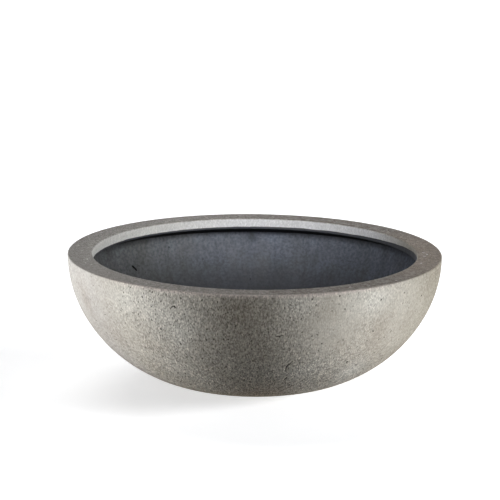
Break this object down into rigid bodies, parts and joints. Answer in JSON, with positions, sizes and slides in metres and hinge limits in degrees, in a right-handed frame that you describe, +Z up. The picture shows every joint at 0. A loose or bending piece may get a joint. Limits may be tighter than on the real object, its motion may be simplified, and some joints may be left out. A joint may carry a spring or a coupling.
{
  "type": "bowl planter",
  "caption": "Wide, shallow round bowl planter in fibre-reinforced concrete, with a flat rim turned down inside as a lip, a dark waterproof lining, a rubber drain plug and foot pads.",
  "frame": {"origin": "centre of the floor plane, under the middle of the bowl, level with the underside of the foot pads", "axes": "+Z up along the bowl's own axis; the picture looks along +Y from in front, with +X to its right"},
  "size_m": [0.7999, 0.8, 0.283],
  "materials": {
    "concrete_face": "matt grey concrete with fine mottled grain, small open pores and hairline cracks",
    "fibre_concrete": "rough grey glass-fibre reinforced concrete",
    "waterproof_lining": "brushed dark grey coating with a slight satin sheen",
    "plug_rubber": "matt black moulded rubber",
    "pad_rubber": "matt black rubber"
  },
  "bodies": {
    "bowl": {"face_coat": "concrete_face", "fibre_backing": "fibre_concrete", "lining_coat": "waterproof_lining", "foot_pads": "pad_rubber"},
    "plug": {"drain_plug": "plug_rubber"}
  },
  "joints": [
    {"name": "plug_lift", "type": "slide", "parent": "bowl", "child": "plug", "axis": [0, 0, 1], "range_m": [0, 0.3]}
  ]
}
